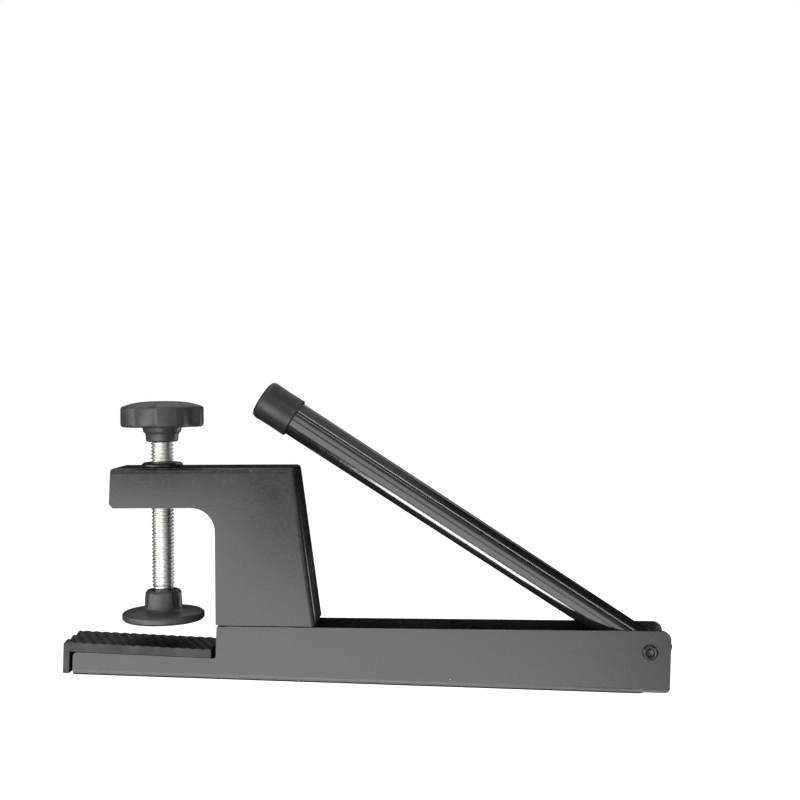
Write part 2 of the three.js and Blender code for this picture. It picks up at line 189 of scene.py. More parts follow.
# %% Enamel finishes
def dust_specks(tree, where, spacing_mm, speck_mm, share):
    """1 on small round specks scattered about spacing_mm apart, on a share of the surface."""
    cells = add(tree, "ShaderNodeTexVoronoi", None, Vector=where, Scale=lumps(spacing_mm),
                Randomness=1.0)
    limit = speck_mm / spacing_mm
    spot = add(tree, "ShaderNodeMapRange", None, Value=cells.outputs["Distance"],
               From_Min=limit * 0.5, From_Max=limit, To_Min=1.0, To_Max=0.0)
    patch = add(tree, "ShaderNodeTexNoise", None, Vector=where, Scale=lumps(30.0), Detail=1.0)
    here = add(tree, "ShaderNodeMapRange", None, Value=patch.outputs["Fac"], From_Min=0.5,
               From_Max=0.62, To_Min=0.0, To_Max=share)
    both = add(tree, "ShaderNodeMath", {"operation": "MULTIPLY"}, _0=spot.outputs[0],
               _1=here.outputs[0])
    return both.outputs[0]


def baked_enamel(name, colour, haze, roughness, peel_mm, peel_depth_mm, speck_share):
    material, tree, shader = new_finish(name)
    where = add(tree, "ShaderNodeTexCoord").outputs["Object"]
    smear = add(tree, "ShaderNodeTexNoise", None, Vector=where, Scale=lumps(14.0), Detail=4.0,
                Roughness=0.55).outputs["Fac"]
    mottle = add(tree, "ShaderNodeTexNoise", None, Vector=where, Scale=lumps(1.3), Detail=3.0,
                 Roughness=0.7).outputs["Fac"]
    both = add(tree, "ShaderNodeMath", {"operation": "MULTIPLY_ADD"}, _0=mottle, _1=0.7, _2=smear)
    share = add(tree, "ShaderNodeMapRange", None, Value=both.outputs[0], From_Min=0.6,
                From_Max=1.1, To_Min=0.0, To_Max=1.0)
    tone = add(tree, "ShaderNodeMix", {"data_type": "RGBA"}, _0=share.outputs[0],
               _6=linear(colour), _7=linear(haze))
    specks = dust_specks(tree, where, 9.0, 0.32, speck_share)
    dusty = add(tree, "ShaderNodeMix", {"data_type": "RGBA"}, _0=specks, _6=tone.outputs[2],
                _7=linear("#b9b6ae"))
    tree.links.new(dusty.outputs[2], shader.inputs["Base Color"])
    rough = add(tree, "ShaderNodeMapRange", None, Value=both.outputs[0], From_Min=0.55,
                From_Max=1.15, To_Min=roughness - 0.04, To_Max=roughness + 0.06)
    tree.links.new(rough.outputs[0], shader.inputs["Roughness"])
    shader.inputs["Metallic"].default_value = 0.0
    shader.inputs["IOR"].default_value = 1.52
    peel = add(tree, "ShaderNodeTexNoise", None, Vector=where, Scale=lumps(peel_mm), Detail=2.0,
               Roughness=0.45)
    relief = add(tree, "ShaderNodeBump", None, Height=peel.outputs["Fac"], Strength=1.0,
                 Distance=peel_depth_mm * MM)
    tree.links.new(relief.outputs[0], shader.inputs["Normal"])
    return material


enamel = baked_enamel("stoved_black_enamel", "#1a1a1a", "#2b2b2b", 0.23, 0.9, 0.011, 0.9)
gloss_enamel = baked_enamel("gloss_black_enamel", "#121212", "#1a1a1a", 0.13, 3.5, 0.008, 0.25)


def edge_highlight_paint():
    """Pale, patchy enamel on the sheet's cut edges, which paints a highlight line along each."""
    material, tree, shader = new_finish("painted_edge_highlight")
    where = add(tree, "ShaderNodeTexCoord").outputs["Object"]
    patchy = add(tree, "ShaderNodeTexNoise", None, Vector=where, Scale=lumps(2.2), Detail=4.0,
                 Roughness=0.6)
    share = add(tree, "ShaderNodeMapRange", None, Value=patchy.outputs["Fac"], From_Min=0.38,
                From_Max=0.68, To_Min=0.0, To_Max=1.0)
    tone = add(tree, "ShaderNodeMix", {"data_type": "RGBA"}, _0=share.outputs[0],
               _6=linear("#3a3937"), _7=linear("#8d8a82"))
    tree.links.new(tone.outputs[2], shader.inputs["Base Color"])
    shader.inputs["Roughness"].default_value = 0.28
    shader.inputs["IOR"].default_value = 1.52
    fine = add(tree, "ShaderNodeTexNoise", None, Vector=where, Scale=lumps(0.7), Detail=3.0)
    relief = add(tree, "ShaderNodeBump", None, Height=fine.outputs["Fac"], Distance=0.01 * MM)
    tree.links.new(relief.outputs[0], shader.inputs["Normal"])
    return material


edge_highlight_finish = edge_highlight_paint()
print("enamels:", enamel.name, gloss_enamel.name, edge_highlight_finish.name)

# %% [markdown]
# ## Zinc plate, moulded plastic, rubber and nylon
#
# The screw is bright zinc over a rolled thread: nearly white metal with a faint warm tint, dulled
# by fine scratches round the crests. The knob, the foot and the cap are injection moulded, each
# from a black that the mould texture breaks up differently: the knob's is the greyest. Rubber is
# the only finish that hardly shines at all.


# %% Zinc, plastics, rubber and nylon
def bright_zinc():
    material, tree, shader = new_finish("bright_zinc_plate")
    where = add(tree, "ShaderNodeTexCoord").outputs["Object"]
    cloud = add(tree, "ShaderNodeTexNoise", None, Vector=where, Scale=lumps(3.0), Detail=3.0,
                Roughness=0.55)
    tone = add(tree, "ShaderNodeMix", {"data_type": "RGBA"}, _0=cloud.outputs["Fac"],
               _6=linear("#d2cfc9"), _7=linear("#f0efec"))
    tree.links.new(tone.outputs[2], shader.inputs["Base Color"])
    shader.inputs["Metallic"].default_value = 1.0
    fine = add(tree, "ShaderNodeTexNoise", None, Vector=where, Scale=lumps(0.35), Detail=2.0)
    rough = add(tree, "ShaderNodeMapRange", None, Value=fine.outputs["Fac"], From_Min=0.3,
                From_Max=0.7, To_Min=0.3, To_Max=0.44)
    tree.links.new(rough.outputs[0], shader.inputs["Roughness"])
    relief = add(tree, "ShaderNodeBump", None, Height=fine.outputs["Fac"], Distance=0.006 * MM)
    tree.links.new(relief.outputs[0], shader.inputs["Normal"])
    return material


def moulded_plastic(name, dark, light, roughness, texture_mm, texture_depth_mm):
    material, tree, shader = new_finish(name)
    where = add(tree, "ShaderNodeTexCoord").outputs["Object"]
    cloud = add(tree, "ShaderNodeTexNoise", None, Vector=where, Scale=lumps(6.0), Detail=4.0,
                Roughness=0.6).outputs["Fac"]
    share = add(tree, "ShaderNodeMapRange", None, Value=cloud, From_Min=0.35, From_Max=0.68,
                To_Min=0.0, To_Max=1.0)
    tone = add(tree, "ShaderNodeMix", {"data_type": "RGBA"}, _0=share.outputs[0],
               _6=linear(dark), _7=linear(light))
    tree.links.new(tone.outputs[2], shader.inputs["Base Color"])
    rough = add(tree, "ShaderNodeMapRange", None, Value=cloud, From_Min=0.3, From_Max=0.7,
                To_Min=roughness + 0.05, To_Max=roughness - 0.05)
    tree.links.new(rough.outputs[0], shader.inputs["Roughness"])
    shader.inputs["IOR"].default_value = 1.49
    pits = add(tree, "ShaderNodeTexNoise", None, Vector=where, Scale=lumps(texture_mm),
               Detail=2.0, Roughness=0.6)
    relief = add(tree, "ShaderNodeBump", None, Height=pits.outputs["Fac"],
                 Distance=texture_depth_mm * MM)
    tree.links.new(relief.outputs[0], shader.inputs["Normal"])
    return material


zinc = bright_zinc()
knob_plastic = moulded_plastic("moulded_pp_knob", "#35322f", "#4a4642", 0.42, 0.55, 0.03)
foot_plastic = moulded_plastic("moulded_pe_foot", "#3a3737", "#4c4848", 0.36, 0.8, 0.02)
cap_plastic = moulded_plastic("moulded_pvc_cap", "#1f1e1d", "#2e2c2b", 0.40, 0.6, 0.02)
jaw_rubber = moulded_plastic("moulded_jaw_rubber", "#1d1d1c", "#333332", 0.55, 0.5, 0.03)
nylon = moulded_plastic("natural_nylon", "#b9b4a6", "#cfcabd", 0.4, 0.8, 0.01)
print("plastics:", [m.name for m in (knob_plastic, foot_plastic, cap_plastic, jaw_rubber)])

# %% [markdown]
# ## Mesh helpers
#
# Three ways of making a piece are used again and again. A turned piece is a rounded profile
# carried round an axis. A folded piece starts from the frame's own solid, so that its size is
# exact: the loose triangles are merged, flat faces are joined, and every cut edge gets the small
# radius that paint gives it. The last helper turns a finished stack of modifiers into a plain
# mesh, because the export wants nothing left to work out.


# %% Building and finishing meshes
def object_of(name, bm, at=None):
    """An object at the origin with this mesh, laid in place by the matrix `at`."""
    mesh = bpy.data.meshes.new(name)
    if at is not None:
        bmesh.ops.transform(bm, matrix=at, verts=bm.verts)
    bm.to_mesh(mesh)
    bm.free()
    made = bpy.data.objects.new(name, mesh)
    bpy.context.scene.collection.objects.link(made)
    return made


def baked_down(made):
    """Applies an object's modifiers and leaves a plain mesh."""
    bpy.context.view_layer.update()
    graph = bpy.context.evaluated_depsgraph_get()
    final = bpy.data.meshes.new_from_object(made.evaluated_get(graph))
    made.modifiers.clear()
    old = made.data
    made.data = final
    final.name = made.name
    bpy.data.meshes.remove(old)
    return made


def smooth(made, sharp_degrees=35.0):
    mesh = made.data
    mesh.polygons.foreach_set("use_smooth", [True] * len(mesh.polygons))
    mesh.set_sharp_from_angle(angle=math.radians(sharp_degrees))
    return made


def rounded(points, steps=4):
    """Rounds the corners of an open profile of (radius, height, corner radius), all in mm."""
    made = []
    for i, (r, h, corner) in enumerate(points):
        here = Vector((r, h))
        if corner == 0 or i in (0, len(points) - 1):
            made.append(here)
            continue
        back = (Vector(points[i - 1][:2]) - here).normalized()
        on = (Vector(points[i + 1][:2]) - here).normalized()
        half = max(math.acos(max(-1.0, min(1.0, back.dot(on)))) / 2, 0.01)
        run = corner / math.tan(half)
        centre = here + (back + on).normalized() * (corner / math.sin(half))
        first = here + back * run - centre
        turn = (math.pi - 2 * half) * (1 if first.x * on.y - first.y * on.x > 0 else -1)
        for k in range(steps + 1):
            a = turn * k / steps
            made.append(centre + Vector((first.x * math.cos(a) - first.y * math.sin(a),
                                         first.x * math.sin(a) + first.y * math.cos(a))))
    return made


def turned(name, profile, at, steps=96, closed=False):
    """A turned piece. The profile is in mm, from axis to axis, or closed on itself."""
    points = rounded(profile)
    bm = bmesh.new()
    rings = []
    for p in points:
        if p.x < 1e-6:
            rings.append([bm.verts.new((0, 0, p.y * MM))])
            continue
        rings.append([
            bm.verts.new((p.x * MM * math.cos(2 * math.pi * k / steps),
                          p.x * MM * math.sin(2 * math.pi * k / steps), p.y * MM))
            for k in range(steps)
        ])
    pairs = list(zip(rings, rings[1:]))
    if closed:
        pairs.append((rings[-1], rings[0]))
    for low, high in pairs:
        for k in range(steps):
            n = (k + 1) % steps
            corners = []
            for v in (low[k % len(low)], low[n % len(low)], high[n % len(high)],
                      high[k % len(high)]):
                if v not in corners:
                    corners.append(v)
            if len(corners) > 2:
                bm.faces.new(corners)
    bmesh.ops.recalc_face_normals(bm, faces=bm.faces)
    return smooth(object_of(name, bm, at))


def folded(name, node, edge_mm, edge_finish=1):
    """A sheet piece: the frame's solid with merged faces and a small radius on every cut edge."""
    bm = bmesh.new()
    bm.from_mesh(frame["nodes"][node].data)
    bmesh.ops.remove_doubles(bm, verts=bm.verts, dist=2e-6)
    bmesh.ops.dissolve_limit(bm, angle_limit=math.radians(0.6), verts=bm.verts, edges=bm.edges)
    made = object_of(name, bm)
    smooth(made)
    bevel = made.modifiers.new("edge_radius", "BEVEL")
    bevel.width = edge_mm * MM
    bevel.segments = 3
    bevel.limit_method = "ANGLE"
    bevel.angle_limit = math.radians(32)
    # the eased edge takes the second material, the pale one that paints a highlight line along it
    bevel.material = edge_finish
    bevel.harden_normals = True
    bevel.use_clamp_overlap = True
    return made


def wear(made, *materials):
    made.data.materials.clear()
    for m in materials:
        made.data.materials.append(m)
    return made


def hand_over(made, body, slot, *nodes):
    """Tells the frame what a piece rides on and which solids it stands for. Its finish, the slot, is
    not used.
    """
    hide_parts(*nodes)
    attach(made, body)
    faces = len(made.data.polygons)
    print(f"{made.name}: rides on {body}, {faces} faces")
    return made


# %% [markdown]
# ## The beam and the bracket
#
# Both are cut from 1.5 mm steel strip and folded: the beam into a trough that is open on top, the
# bracket into a C that is open towards the jaw. Solidify on a flat pattern would also work, but
# the folds already have their true inside and outside radius in the frame's solids. So the solids
# are kept, and only the cut edges are eased. Each eased edge gets a pale finish of its own, which
# paints a highlight line along it.

# %% Folded sheet
EDGE_MM = 0.28
beam = folded("channel_beam_sheet", "channel_beam", EDGE_MM)
wear(beam, enamel, edge_highlight_finish)
baked_down(beam)
hand_over(beam, "frame", "black_paint", "channel_beam")

bracket = folded("clamp_bracket_sheet", "clamp_bracket", EDGE_MM)
wear(bracket, enamel, edge_highlight_finish)
baked_down(bracket)
hand_over(bracket, "frame", "black_paint", "clamp_bracket")

# %% [markdown]
# The bracket stands on the beam's walls and is welded to the two tabs inside it. Under the plate's
# lower edge lies a narrow gap in shade, where no paint gloss reaches. A flat dark line in the paint
# would slide out of place, so a slim near-black bead is modelled there as painted shadow.

# %% Painted shadow beads under the bracket
SHADE_STRIP_START, SHADE_STRIP_SHORT = 1.3 * MM, 2.2 * MM
SHADE_STRIP_RISE = (19.7 - 19.05) * MM
SHADE_STRIP_PROUD, SHADE_STRIP_GAP = 0.28 * MM, 0.01 * MM
SHADE_STRIP_TOP, SHADE_STRIP_EDGE, SHADE_STRIP_SLOPE, SHADE_STRIP_FOOT = 0.3 * MM, 0.35 * MM, 0.6 * MM, 0.7 * MM
SHADE_STRIP_STEPS = 24


def gap_shadow_bead(side):
    """A five-sided near-black bead of painted shadow along the bracket's lower edge, which rises
    towards the rear.
    """
    low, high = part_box("clamp_bracket")
    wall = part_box("channel_beam")[1].y
    bm = bmesh.new()
    rows = []
    for k in range(SHADE_STRIP_STEPS + 1):
        x = SHADE_STRIP_START + (high.x - SHADE_STRIP_SHORT) * k / SHADE_STRIP_STEPS
        foot = low.z + SHADE_STRIP_RISE * k / SHADE_STRIP_STEPS
        y = side * wall
        out = side * SHADE_STRIP_PROUD
        rows.append([bm.verts.new(c) for c in (
            (x, y + side * SHADE_STRIP_GAP, foot + SHADE_STRIP_TOP), (x, y + out, foot + SHADE_STRIP_TOP),
            (x, y + out, foot - SHADE_STRIP_EDGE), (x, y + out * 0.7, foot - SHADE_STRIP_SLOPE),
            (x, y + side * SHADE_STRIP_GAP, foot - SHADE_STRIP_FOOT))])
    for a, b in zip(rows, rows[1:]):
        for j in range(5):
            bm.faces.new((a[j], a[(j + 1) % 5], b[(j + 1) % 5], b[j]))
    bm.faces.new(rows[0][::-1])
    bm.faces.new(rows[-1])
    bmesh.ops.recalc_face_normals(bm, faces=bm.faces)
    return smooth(object_of(f"weld_seam_{'front' if side < 0 else 'rear'}", bm))


# near-black matt paint for the beads: painted shadow in the gap under the bracket's plate
def shade_strip_paint():
    material, tree, shader = new_finish("matt_black_painted_shade")
    where = add(tree, "ShaderNodeTexCoord").outputs["Object"]
    lumpy = add(tree, "ShaderNodeTexNoise", None, Vector=where, Scale=lumps(0.8), Detail=3.0)
    tone = add(tree, "ShaderNodeMix", {"data_type": "RGBA"}, _0=lumpy.outputs["Fac"],
               _6=linear("#060606"), _7=linear("#121212"))
    tree.links.new(tone.outputs[2], shader.inputs["Base Color"])
    shader.inputs["Roughness"].default_value = 0.85
    shader.inputs["Specular IOR Level"].default_value = 0.15
    relief = add(tree, "ShaderNodeBump", None, Height=lumpy.outputs["Fac"], Distance=0.05 * MM)
    tree.links.new(relief.outputs[0], shader.inputs["Normal"])
    return material


shade_strip_finish = shade_strip_paint()
for side in (-1, 1):
    painted_shadow = gap_shadow_bead(side)
    wear(painted_shadow, shade_strip_finish)
    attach(painted_shadow, "frame")
    print(painted_shadow.name, "is", round(painted_shadow.dimensions.x / MM, 1), "mm long")

# %% [markdown]
# ## The weld nut
#
# A low round nut with a pilot sits in the arm's top flange and is welded before painting. It
# stands only 1.5 mm proud, just enough to carry the load into the flange.

# %% Weld nut
FLANGE = 52.65
NUT_TOP = FLANGE + 1.5
nut = turned("weld_nut_boss", [
    (4.3, FLANGE - 1.5, 0.2), (5.5, FLANGE - 1.5, 0.2), (5.5, FLANGE + 0.3, 0),
    (7.0, FLANGE + 0.3, 0), (7.0, FLANGE + 0.9, 0.25), (6.25, NUT_TOP, 0.3),
    (4.3, NUT_TOP, 0.15),
], ON_SCREW, closed=True)
wear(nut, enamel)
hand_over(nut, "frame", "black_paint", "weld_nut")

# %% [markdown]
# ## The screw
#
# The thread is M8, rolled, with a step of 1.25 mm. A swept ridge is hard to close at its ends, so
# a Geometry Nodes tree starts from a plain closed rod with many rings and moves each point in or
# out: how far depends on where it lies in the thread's turn. The ridge fades out at both ends, as
# a rolled thread does. Its sizes are named inputs, so the same tree makes any right-hand thread.


# %% The thread tree
def thread_tree():
    tree = bpy.data.node_groups.new("rolled_thread", "GeometryNodeTree")
    face = tree.interface
    face.new_socket("Geometry", in_out="OUTPUT", socket_type="NodeSocketGeometry")
    for name, default in (("Crest Radius", 0.0038), ("Root Radius", 0.0033), ("Pitch", 0.00125),
                          ("Length", 0.05), ("Runout", 0.0015)):
        made = face.new_socket(name, in_out="INPUT", socket_type="NodeSocketFloat")
        made.default_value = default
    for name, default in (("Rings", 700), ("Around", 48)):
        made = face.new_socket(name, in_out="INPUT", socket_type="NodeSocketInt")
        made.default_value = default
    face.new_socket("Material", in_out="INPUT", socket_type="NodeSocketMaterial")
    given = add(tree, "NodeGroupInput").outputs

    rod = add(tree, "GeometryNodeMeshCylinder", {"fill_type": "NGON"}, Vertices=given["Around"],
              Side_Segments=given["Rings"], Radius=given["Crest Radius"], Depth=given["Length"])
    place = add(tree, "ShaderNodeSeparateXYZ", None,
                Vector=add(tree, "GeometryNodeInputPosition").outputs[0]).outputs
    angle = add(tree, "ShaderNodeMath", {"operation": "ARCTAN2"}, _0=place["Y"], _1=place["X"])
    part_turn = add(tree, "ShaderNodeMath", {"operation": "DIVIDE"}, _0=angle.outputs[0],
                    _1=2 * math.pi)
    pitches = add(tree, "ShaderNodeMath", {"operation": "DIVIDE"}, _0=place["Z"],
                  _1=given["Pitch"])
    turns = add(tree, "ShaderNodeMath", {"operation": "SUBTRACT"}, _0=pitches.outputs[0],
                _1=part_turn.outputs[0])
    within = add(tree, "ShaderNodeMath", {"operation": "FRACT"}, _0=turns.outputs[0])
    from_crest = add(tree, "ShaderNodeMath", {"operation": "SUBTRACT"}, _0=within.outputs[0],
                     _1=0.5)
    off_crest = add(tree, "ShaderNodeMath", {"operation": "ABSOLUTE"}, _0=from_crest.outputs[0])
    # the ridge's height is 1 up to 0.09 of a pitch from the crest's middle, and 0 past 0.40
    ridge = add(tree, "ShaderNodeMapRange", {"interpolation_type": "SMOOTHSTEP"},
                Value=off_crest.outputs[0], From_Min=0.09, From_Max=0.40, To_Min=1.0, To_Max=0.0)
    off_middle = add(tree, "ShaderNodeMath", {"operation": "ABSOLUTE"}, _0=place["Z"])
    half = add(tree, "ShaderNodeMath", {"operation": "MULTIPLY"}, _0=given["Length"], _1=0.5)
    to_end = add(tree, "ShaderNodeMath", {"operation": "SUBTRACT"}, _0=half.outputs[0],
                 _1=off_middle.outputs[0])
    fade = add(tree, "ShaderNodeMath", {"operation": "DIVIDE", "use_clamp": True},
               _0=to_end.outputs[0], _1=given["Runout"])
    height = add(tree, "ShaderNodeMath", {"operation": "MULTIPLY"}, _0=ridge.outputs[0],
                 _1=fade.outputs[0])
    radius = add(tree, "ShaderNodeMapRange", None, Value=height.outputs[0],
                 To_Min=given["Root Radius"], To_Max=given["Crest Radius"])
    share = add(tree, "ShaderNodeMath", {"operation": "DIVIDE"}, _0=radius.outputs[0],
                _1=given["Crest Radius"])
    flat = add(tree, "ShaderNodeCombineXYZ", None, X=place["X"], Y=place["Y"])
    pulled = add(tree, "ShaderNodeVectorMath", {"operation": "SCALE"}, _0=flat.outputs[0],
                 Scale=share.outputs[0])
    lift = add(tree, "ShaderNodeCombineXYZ", None, Z=place["Z"])
    moved = add(tree, "ShaderNodeVectorMath", {"operation": "ADD"}, _0=pulled.outputs[0],
                _1=lift.outputs[0])
    cut = add(tree, "GeometryNodeSetPosition", None, Geometry=rod.outputs["Mesh"],
              Position=moved.outputs[0])
    real = add(tree, "GeometryNodeRealizeInstances", None, Geometry=cut.outputs[0])
    done = add(tree, "GeometryNodeSetMaterial", None, Geometry=real.outputs[0],
               Material=given["Material"])
    add(tree, "NodeGroupOutput", None, Geometry=done.outputs[0])
    return tree


def run_tree(made, tree, values):
    """Runs a Geometry Nodes tree on an object. Its inputs are set by identifier."""
    modifier = made.modifiers.new(tree.name, "NODES")
    modifier.node_group = tree
    for item in tree.interface.items_tree:
        if item.in_out == "INPUT" and item.name in values:
            modifier[item.identifier] = values[item.name]
    return baked_down(made)


# %% [markdown]
# The rod runs from the neck above the ball up into the knob, where a hexagon head is moulded in.
# The head is never seen, but the knob would have nothing to turn without it.

# %% Screw
NECK_TOP = 10.7
HEAD_FOOT, HEAD_TOP = 67.3, 72.5
PITCH = 1.25 * MM


def threaded_rod():
    length = (HEAD_FOOT + 0.6 - NECK_TOP) * MM
    rod = run_tree(object_of("threaded_rod", bmesh.new()), thread_tree(), {
        "Length": length, "Pitch": PITCH, "Rings": int(length / PITCH * 15), "Around": 56,
        "Material": zinc,
    })
    middle = (HEAD_FOOT + 0.6 + NECK_TOP) / 2 * MM
    rod.data.transform(ON_SCREW @ Matrix.Translation((0, 0, middle)))
    return smooth(rod, 50.0)


def bolt_head():
    return turned("bolt_head", [
        (0, HEAD_FOOT, 0), (7.4, HEAD_FOOT, 0), (7.4, HEAD_TOP, 0), (0, HEAD_TOP, 0),
    ], ON_SCREW, steps=6)


rod = threaded_rod()
wear(rod, zinc)
hand_over(rod, "screw", "zinc_plate", "clamp_screw")
head = bolt_head()
wear(head, zinc)
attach(head, "screw")
print("thread turns:", round((HEAD_FOOT - NECK_TOP) * MM / PITCH, 1))

# %% [markdown]
# ## The ball end and the swivel foot
#
# The screw ends in a turned ball that snaps into the foot, so the foot can lie flat on a table
# while the screw turns. The foot is a moulded disc with a collar. Four slots split the collar
# into fingers that spring over the ball. The slots repeat round the axis, so a Geometry Nodes
# tree sets them out and cuts them.


# %% Ball end and foot
def ball_profile(radius, neck, top, steps=12):
    start = math.asin(neck / radius)
    arc = [math.pi - (math.pi - start) * k / steps for k in range(steps + 1)]
    rows = [(radius * math.sin(a) if k else 0.0, BALL_HEIGHT / MM + radius * math.cos(a), 0)
            for k, a in enumerate(arc)]
    return rows + [(neck, top, 0.2), (0, top, 0)]


ball = turned("ball_end", ball_profile(3.9, 2.8, 10.4), ON_SCREW, steps=64)
wear(ball, zinc)
hand_over(ball, "ball_end", "zinc_plate", "screw_ball_end")


def slot_tree():
    """Cuts narrow slots, evenly spaced round Z, out of the geometry that it is given."""
    tree = bpy.data.node_groups.new("collar_slots", "GeometryNodeTree")
    face = tree.interface
    face.new_socket("Geometry", in_out="INPUT", socket_type="NodeSocketGeometry")
    face.new_socket("Geometry", in_out="OUTPUT", socket_type="NodeSocketGeometry")
    for name, kind in (("Slots", "NodeSocketInt"), ("Width", "NodeSocketFloat"),
                       ("Reach", "NodeSocketFloat"), ("Bottom", "NodeSocketFloat"),
                       ("Top", "NodeSocketFloat"), ("Material", "NodeSocketMaterial")):
        face.new_socket(name, in_out="INPUT", socket_type=kind)
    given = add(tree, "NodeGroupInput").outputs
    height = add(tree, "ShaderNodeMath", {"operation": "SUBTRACT"}, _0=given["Top"],
                 _1=given["Bottom"]).outputs[0]
    middle = add(tree, "ShaderNodeMath", {"operation": "MULTIPLY_ADD"}, _0=height, _1=0.5,
                 _2=given["Bottom"]).outputs[0]
    ring = add(tree, "GeometryNodeMeshCircle", None, Vertices=given["Slots"],
               Radius=given["Reach"]).outputs["Mesh"]
    lifted = add(tree, "GeometryNodeTransform", None, Geometry=ring,
                 Translation=add(tree, "ShaderNodeCombineXYZ", None, Z=middle).outputs[0])
    spot = add(tree, "GeometryNodeInputPosition").outputs[0]
    parts = add(tree, "ShaderNodeSeparateXYZ", None, Vector=spot).outputs
    angle = add(tree, "ShaderNodeMath", {"operation": "ARCTAN2"}, _0=parts["Y"],
                _1=parts["X"]).outputs[0]
    size = add(tree, "ShaderNodeCombineXYZ", None, X=given["Reach"], Y=given["Width"], Z=height)
    cutter = add(tree, "GeometryNodeMeshCube", None, Size=size.outputs[0]).outputs["Mesh"]
    turn = add(tree, "ShaderNodeCombineXYZ", None, Z=angle).outputs[0]
    set_out = add(tree, "GeometryNodeInstanceOnPoints", None, Points=lifted.outputs[0],
                  Instance=cutter, Rotation=turn)
    real = add(tree, "GeometryNodeRealizeInstances", None, Geometry=set_out.outputs[0])
    cut = add(tree, "GeometryNodeMeshBoolean", {"operation": "DIFFERENCE", "solver": "EXACT"})
    tree.links.new(given["Geometry"], cut.inputs["Mesh 1"])
    tree.links.new(real.outputs[0], cut.inputs["Mesh 2"])
    done = add(tree, "GeometryNodeSetMaterial", None, Geometry=cut.outputs["Mesh"],
               Material=given["Material"])
    add(tree, "NodeGroupOutput", None, Geometry=done.outputs[0])
    return tree


def swivel_foot():
    socket = 4.25
    mouth = 3.65
    start = math.asin(mouth / socket)
    cave = [start + (math.pi - start) * k / 12 for k in range(13)]
    inside = [(socket * math.sin(a) if k < 12 else 0.0, BALL_HEIGHT / MM + socket * math.cos(a), 0)
              for k, a in enumerate(cave)]
    plain = turned("swivel_foot_disc", [
        (0, 0.35, 0), (10.6, 0.35, 0.2), (11.0, 0, 0.2), (13.4, 0, 0.3), (14.0, 0.6, 0.4),
        (14.0, 2.2, 0.5), (13.3, 2.75, 0.5), (7.3, 3.35, 0.8), (6.45, 4.1, 0.6), (6.15, 9.4, 0.5),
        (5.5, 10.2, 0.3), (4.6, 10.2, 0.2),
    ] + inside, Matrix.Identity(4))
    run_tree(plain, slot_tree(), {
        "Slots": 4, "Width": 0.6 * MM, "Reach": 5.4 * MM, "Bottom": 5.2 * MM, "Top": 11.0 * MM,
        "Material": foot_plastic,
    })
    turn = Matrix.Rotation(math.radians(45), 4, "Z")
    plain.data.transform(ON_SCREW @ turn)
    return smooth(plain)


foot = swivel_foot()
wear(foot, foot_plastic)
hand_over(foot, "foot", "foot_plastic", "swivel_foot")

# %% [markdown]
# ## The hand knob
#
# A star knob with five lobes is moulded round the screw's head. Its outline is a circle with five
# round hollows cut out of it, and its top is a shallow dome. Subdivision would make soft lobes
# but not these crisp ones, so the knob is built ring by ring: each ring follows the outline,
# pulled in by the amount that the rim's rounding or the dome asks for at that height.


# %% Knob
LOBES = 5
KNOB_R, WAIST, HOLLOW_R = 14.2, 12.3, 6.0
LOBE_TURN = math.radians(24)
HUB_FOOT, RIM_FOOT, SHOULDER, KNOB_TOP = 61.3, 66.4, 73.6, 75.2


def lobe_outline(angle):
    """The knob's radius in mm at an angle from the middle of a lobe, with eased lobe corners."""
    pitch = 2 * math.pi / LOBES
    off_lobe = angle - pitch * round(angle / pitch)
    off_hollow = pitch / 2 - abs(off_lobe)
    centre = WAIST + HOLLOW_R
    side = centre * math.sin(off_hollow)
    if side >= HOLLOW_R:
        return KNOB_R
    hollow = centre * math.cos(off_hollow) - math.sqrt(HOLLOW_R ** 2 - side ** 2)
    ease = 0.9
    t = max(ease - abs(KNOB_R - hollow), 0) / ease
    return min(KNOB_R, hollow) - t * t * ease / 4


def knob_rings():
    """Rows of (height, share of the outline, inset, plain radius), from the bore round to it."""
    rows = []
    rim = 1.1
    for h, r in ((HEAD_TOP + 0.3, 0.0), (HEAD_TOP + 0.3, 7.7), (HEAD_FOOT - 0.3, 7.7),
                 (HEAD_FOOT - 0.3, 4.25), (HUB_FOOT + 0.3, 4.25), (HUB_FOOT, 4.5),
                 (HUB_FOOT, 5.0), (HUB_FOOT + 0.25, 5.35), (HUB_FOOT + 0.7, 5.5),
                 (RIM_FOOT - 2.4, 5.65), (RIM_FOOT - 2.2, 5.8), (RIM_FOOT - 1.95, 6.2),
                 (RIM_FOOT - 1.65, 6.45), (RIM_FOOT - 0.6, 6.6), (RIM_FOOT - 0.2, 6.8),
                 (RIM_FOOT, 7.3)):
        rows.append((h, 0.0, 0.0, r))
    rows.append((RIM_FOOT, 0.6, rim, 8.0))
    rows.append((RIM_FOOT, 1.0, rim + 0.5, 0.0))
    for k in range(7):
        a = math.radians(15 * k)
        rows.append((RIM_FOOT + rim * (1 - math.cos(a)), 1.0, rim * (1 - math.sin(a)), 0.0))
    for k in range(7):
        a = math.radians(15 * k)
        rows.append((SHOULDER - rim * (1 - math.sin(a)), 1.0, rim * (1 - math.cos(a)), 0.0))
    for k in range(1, 13):
        s = 1 - k / 12
        rows.append((SHOULDER + (KNOB_TOP - SHOULDER) * (1 - s ** 3.0), s, rim * s, 0.0))
    return rows


